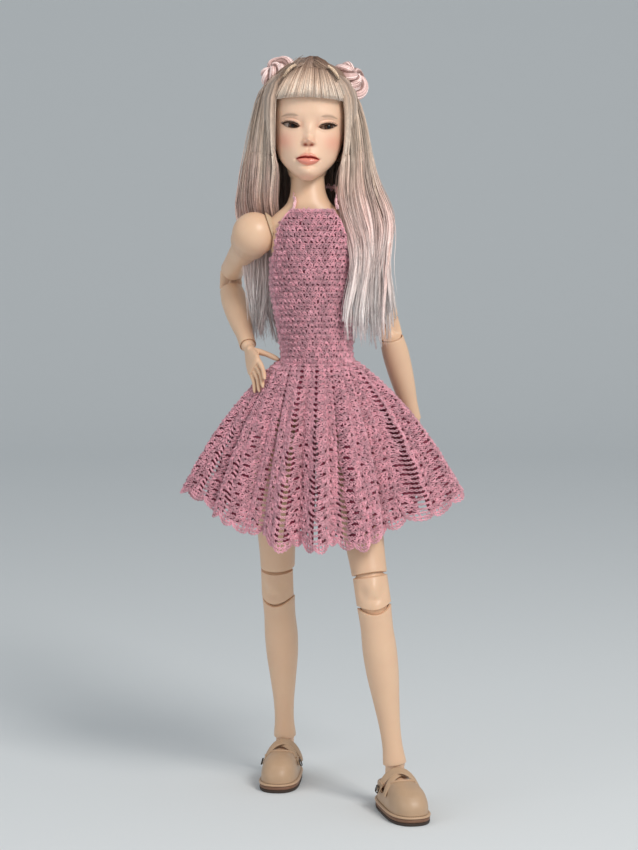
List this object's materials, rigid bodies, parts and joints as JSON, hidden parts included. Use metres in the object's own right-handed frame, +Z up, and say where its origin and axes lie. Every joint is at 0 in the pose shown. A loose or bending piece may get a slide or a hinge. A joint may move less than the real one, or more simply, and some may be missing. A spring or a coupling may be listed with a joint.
{
  "type": "ball jointed doll",
  "caption": "Standing ball jointed doll with double-jointed elbows and knees, a long wig with buns, a crochet halter dress and strapped shoes.",
  "frame": {"origin": "on the floor, under the middle of the outline", "axes": "+Z up; the doll faces -Y, and its left side is at +X"},
  "size_m": [0.1654, 0.1371, 0.437],
  "materials": {
    "resin_skin": "satin cast resin",
    "hair_roots": "silky fibre",
    "hair_ends": "silky fibre",
    "eye_glass": "glossy",
    "lining_suede": "suede",
    "hook_steel": "bright wire",
    "elastic_cord": "woven cover",
    "crochet_cotton": "crocheted cotton yarn",
    "shoe_leather": "smooth, lightly grained",
    "shoe_sole": "matt",
    "buckle_metal": "dark"
  },
  "bodies": {
    "pelvis": {"pelvis": "resin_skin", "skirt": "crochet_cotton", "leg_elastic_right": "elastic_cord", "leg_elastic_left": "elastic_cord"},
    "waist": {"waist": "resin_skin"},
    "chest": {"chest": "resin_skin", "bodice": "crochet_cotton", "halter_cord": "crochet_cotton", "arm_elastic": "elastic_cord"},
    "neck": {"neck_hook": "hook_steel"},
    "head": {"face_shell": "resin_skin", "head_cap": "resin_skin", "eye_right": "eye_glass", "eye_left": "eye_glass", "wig_crown": "hair_roots", "fringe": "hair_roots", "hair_back": "hair_roots", "lock_right": "hair_ends", "lock_left": "hair_ends", "bun_right": "hair_ends", "bun_left": "hair_ends"},
    "shoulder_right": {"shoulder_lining_right": "lining_suede"},
    "upper_arm_right": {"upper_arm_right": "resin_skin"},
    "elbow_right": {"elbow_right": "resin_skin"},
    "forearm_right": {"forearm_right": "resin_skin"},
    "wrist_right": {"wrist_hook_right": "hook_steel"},
    "hand_right": {"hand_right": "resin_skin"},
    "shoulder_left": {"shoulder_lining_left": "lining_suede"},
    "upper_arm_left": {"upper_arm_left": "resin_skin"},
    "elbow_left": {"elbow_left": "resin_skin"},
    "forearm_left": {"forearm_left": "resin_skin"},
    "wrist_left": {"wrist_hook_left": "hook_steel"},
    "hand_left": {"hand_left": "resin_skin"},
    "hip_right": {"hip_lining_right": "lining_suede"},
    "thigh_right": {"thigh_right": "resin_skin"},
    "knee_right": {"knee_right": "resin_skin"},
    "shin_right": {"shin_right": "resin_skin"},
    "ankle_right": {"ankle_hook_right": "hook_steel"},
    "foot_right": {"foot_right": "resin_skin", "outsole_right": "shoe_sole", "shoe_upper_right": "shoe_leather", "strap_upper_right": "shoe_leather", "strap_lower_right": "shoe_leather", "buckle_upper_right": "buckle_metal", "buckle_lower_right": "buckle_metal"},
    "hip_left": {"hip_lining_left": "lining_suede"},
    "thigh_left": {"thigh_left": "resin_skin"},
    "knee_left": {"knee_left": "resin_skin"},
    "shin_left": {"shin_left": "resin_skin"},
    "ankle_left": {"ankle_hook_left": "hook_steel"},
    "foot_left": {"foot_left": "resin_skin", "outsole_left": "shoe_sole", "shoe_upper_left": "shoe_leather", "strap_upper_left": "shoe_leather", "strap_lower_left": "shoe_leather", "buckle_upper_left": "buckle_metal", "buckle_lower_left": "buckle_metal"}
  },
  "joints": [
    {"name": "waist_turn", "type": "hinge", "parent": "pelvis", "child": "waist", "pos_m": [-0.00303, 0.00817, 0.25724], "axis": [0.0785, 0, 0.9969], "range_deg": [-20, 20], "deforming": ["skirt", "leg_elastic_right", "leg_elastic_left"]},
    {"name": "chest_bend", "type": "hinge", "parent": "waist", "child": "chest", "pos_m": [-0.00303, 0.00817, 0.28924], "axis": [0.9994, 0, 0.0349], "range_deg": [-12, 20], "deforming": ["bodice"]},
    {"name": "neck_turn", "type": "hinge", "parent": "chest", "child": "neck", "pos_m": [-0.00596, 0.01217, 0.37319], "axis": [-0.0349, 0, 0.9994], "range_deg": [-45, 45], "deforming": ["halter_cord"]},
    {"name": "head_nod", "type": "hinge", "parent": "neck", "child": "head", "pos_m": [-0.00596, 0.01217, 0.37319], "axis": [0.9967, -0.0698, -0.0418], "range_deg": [-15, 6], "deforming": ["hair_back", "lock_right", "lock_left"]},
    {"name": "shoulder_swing_right", "type": "hinge", "parent": "chest", "child": "shoulder_right", "pos_m": [-0.0371, 0.00817, 0.33358], "axis": [0.9994, 0, 0.0349], "range_deg": [-80, 30], "deforming": ["arm_elastic"]},
    {"name": "shoulder_lift_right", "type": "hinge", "parent": "shoulder_right", "child": "upper_arm_right", "pos_m": [-0.0371, 0.00817, 0.33358], "axis": [-0.1018, 0.3563, 0.9288], "range_deg": [0, 70]},
    {"name": "elbow_upper_right", "type": "hinge", "parent": "upper_arm_right", "child": "elbow_right", "pos_m": [-0.05232, 0.05839, 0.31264], "axis": [0.9577, 0.2878, -0.0054], "range_deg": [-2, 55]},
    {"name": "elbow_lower_right", "type": "hinge", "parent": "elbow_right", "child": "forearm_right", "pos_m": [-0.05287, 0.06003, 0.30128], "axis": [0.9577, 0.2878, -0.0054], "range_deg": [-2, 10]},
    {"name": "wrist_turn_right", "type": "hinge", "parent": "forearm_right", "child": "wrist_right", "pos_m": [-0.0412, 0.02057, 0.26788], "axis": [-0.2202, 0.7446, 0.6301], "range_deg": [-60, 60]},
    {"name": "wrist_bend_right", "type": "hinge", "parent": "wrist_right", "child": "hand_right", "pos_m": [-0.0412, 0.02057, 0.26788], "axis": [0.417, -0.4774, 0.7735], "range_deg": [-45, 10]},
    {"name": "shoulder_swing_left", "type": "hinge", "parent": "chest", "child": "shoulder_left", "pos_m": [0.02786, 0.00817, 0.33585], "axis": [0.9994, 0, 0.0349], "range_deg": [-80, 30]},
    {"name": "shoulder_lift_left", "type": "hinge", "parent": "shoulder_left", "child": "upper_arm_left", "pos_m": [0.02786, 0.00817, 0.33585], "axis": [0.1244, -0.9529, -0.2765], "range_deg": [0, 70]},
    {"name": "elbow_upper_left", "type": "hinge", "parent": "upper_arm_left", "child": "elbow_left", "pos_m": [0.04149, 0.02508, 0.28369], "axis": [0.9625, 0.0481, 0.2671], "range_deg": [-55, 2]},
    {"name": "elbow_lower_left", "type": "hinge", "parent": "elbow_left", "child": "forearm_left", "pos_m": [0.04436, 0.02772, 0.27287], "axis": [0.9625, 0.0481, 0.2671], "range_deg": [-55, 2]},
    {"name": "wrist_turn_left", "type": "hinge", "parent": "forearm_left", "child": "wrist_left", "pos_m": [0.05796, 0.03617, 0.22235], "axis": [-0.2566, -0.1593, 0.9533], "range_deg": [-60, 60]},
    {"name": "wrist_bend_left", "type": "hinge", "parent": "wrist_left", "child": "hand_left", "pos_m": [0.05796, 0.03617, 0.22235], "axis": [0.956, 0.1238, 0.2661], "range_deg": [-45, 45]},
    {"name": "hip_swing_right", "type": "hinge", "parent": "pelvis", "child": "hip_right", "pos_m": [-0.02539, 0.00817, 0.23442], "axis": [0.9969, 0, -0.0785], "range_deg": [-35, 15]},
    {"name": "hip_spread_right", "type": "hinge", "parent": "hip_right", "child": "thigh_right", "pos_m": [-0.02539, 0.00817, 0.23442], "axis": [0.3108, 0.9353, 0.1691], "range_deg": [0, 15]},
    {"name": "knee_upper_right", "type": "hinge", "parent": "thigh_right", "child": "knee_right", "pos_m": [-0.02379, 0.02571, 0.13447], "axis": [0.9503, -0.3088, -0.039], "range_deg": [0, 45]},
    {"name": "knee_lower_right", "type": "hinge", "parent": "knee_right", "child": "shin_right", "pos_m": [-0.02331, 0.02948, 0.11636], "axis": [0.9503, -0.3088, -0.039], "range_deg": [0, 35]},
    {"name": "ankle_turn_right", "type": "hinge", "parent": "shin_right", "child": "ankle_right", "pos_m": [-0.01996, 0.05117, 0.0265], "axis": [-0.0363, -0.2344, 0.9715], "range_deg": [-30, 30]},
    {"name": "ankle_bend_right", "type": "hinge", "parent": "ankle_right", "child": "foot_right", "pos_m": [-0.01996, 0.05117, 0.0265], "axis": [0.9925, -0.1219, 0], "range_deg": [-5, 30]},
    {"name": "hip_swing_left", "type": "hinge", "parent": "pelvis", "child": "hip_left", "pos_m": [0.01548, 0.00817, 0.23121], "axis": [0.9969, 0, -0.0785], "range_deg": [-35, 15]},
    {"name": "hip_spread_left", "type": "hinge", "parent": "hip_left", "child": "thigh_left", "pos_m": [0.01548, 0.00817, 0.23121], "axis": [0.0225, -0.9441, 0.3288], "range_deg": [0, 15]},
    {"name": "knee_upper_left", "type": "hinge", "parent": "thigh_left", "child": "knee_left", "pos_m": [0.03034, -0.02454, 0.13628], "axis": [0.989, 0.0692, 0.131], "range_deg": [0, 45]},
    {"name": "knee_lower_left", "type": "hinge", "parent": "knee_left", "child": "shin_left", "pos_m": [0.03294, -0.0275, 0.1182], "axis": [0.989, 0.0692, 0.131], "range_deg": [0, 35]},
    {"name": "ankle_turn_left", "type": "hinge", "parent": "shin_left", "child": "ankle_left", "pos_m": [0.04505, -0.02683, 0.0265], "axis": [-0.1308, -0.0072, 0.9914], "range_deg": [-30, 30]},
    {"name": "ankle_bend_left", "type": "hinge", "parent": "ankle_left", "child": "foot_left", "pos_m": [0.04505, -0.02683, 0.0265], "axis": [0.9659, 0.2588, 0], "range_deg": [-15, 30]}
  ]
}
